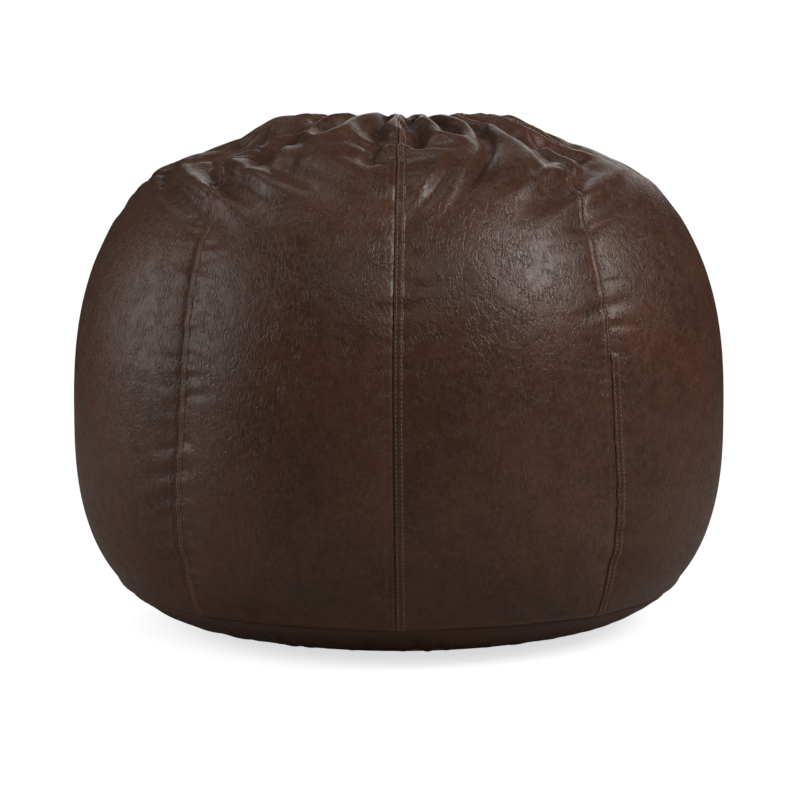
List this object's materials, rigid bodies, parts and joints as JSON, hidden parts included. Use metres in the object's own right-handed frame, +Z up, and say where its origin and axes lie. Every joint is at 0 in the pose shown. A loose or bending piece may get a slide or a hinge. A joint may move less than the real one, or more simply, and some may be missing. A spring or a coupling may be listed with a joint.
{
  "type": "bean bag chair",
  "caption": "Round bean bag chair with a gathered gore cover in brown leather-look cloth, a zip round the back of its base seam, a liner and a loose bead fill.",
  "frame": {"origin": "middle of the patch that rests on the floor, at floor height", "axes": "+Z up, -Y towards the front seam, +X to the right seen from the front"},
  "size_m": [0.951, 0.951, 0.7455],
  "materials": {
    "cover_leather": "semi-gloss crackled leather-look coating, dark chocolate brown",
    "base_leather": "the same cloth, duller and darker where it lies under the bag",
    "topstitch_thread": "tan twisted polyester thread",
    "label_cloth": "plain woven satin label",
    "cover_zip_tape": "dark brown woven tape",
    "cover_zip_coil": "dark brown nylon coil",
    "cover_zip_metal": "antique brass, worn bright at the edges",
    "liner_cloth": "unbleached plain-weave liner cloth",
    "liner_zip_tape": "white woven tape",
    "liner_zip_coil": "white nylon coil",
    "liner_zip_metal": "white enamel",
    "beads": "loose white expanded beads"
  },
  "bodies": {
    "bag": {"front_right_gore": "cover_leather", "right_front_gore": "cover_leather", "right_rear_gore": "cover_leather", "rear_right_gore": "cover_leather", "rear_left_gore": "cover_leather", "left_rear_gore": "cover_leather", "left_front_gore": "cover_leather", "front_left_gore": "cover_leather", "top_cap": "cover_leather", "base_panel": "base_leather", "front_seam_thread": "topstitch_thread", "front_right_seam_thread": "topstitch_thread", "right_seam_thread": "topstitch_thread", "rear_right_seam_thread": "topstitch_thread", "rear_seam_thread": "topstitch_thread", "rear_left_seam_thread": "topstitch_thread", "left_seam_thread": "topstitch_thread", "front_left_seam_thread": "topstitch_thread", "cap_seam_thread": "topstitch_thread", "zip_edge_thread": "topstitch_thread", "care_label": "label_cloth", "cover_zip_tape_upper": "cover_zip_tape", "cover_zip_tape_lower": "cover_zip_tape", "cover_zip_coil_upper": "cover_zip_coil", "cover_zip_coil_lower": "cover_zip_coil", "cover_zip_stops": "cover_zip_metal", "liner_gore_1": "liner_cloth", "liner_gore_2": "liner_cloth", "liner_gore_3": "liner_cloth", "liner_gore_4": "liner_cloth", "liner_base": "liner_cloth", "liner_top_front": "liner_cloth", "liner_top_rear": "liner_cloth", "liner_zip_tape_front": "liner_zip_tape", "liner_zip_tape_rear": "liner_zip_tape", "liner_zip_coil_front": "liner_zip_coil", "liner_zip_coil_rear": "liner_zip_coil", "liner_zip_stops": "liner_zip_metal", "bead_fill": "beads"},
    "cover_slider": {"cover_zip_slider": "cover_zip_metal"},
    "cover_pull": {"cover_zip_pull": "cover_zip_metal"},
    "liner_slider": {"liner_zip_slider": "liner_zip_metal"}
  },
  "joints": [
    {"name": "cover_zip_run", "type": "hinge", "parent": "bag", "child": "cover_slider", "pos_m": [0, 0, 0], "axis": [0, 0, 1], "range_deg": [0, 137.7]},
    {"name": "cover_pull_swing", "type": "hinge", "parent": "cover_slider", "child": "cover_pull", "pos_m": [0.37643, 0.1456, 0.05788], "axis": [0.6484, 0.2508, 0.7188], "range_deg": [-85, 85]},
    {"name": "liner_zip_run", "type": "slide", "parent": "bag", "child": "liner_slider", "axis": [1, 0, 0], "range_m": [0, 0.3748]}
  ]
}
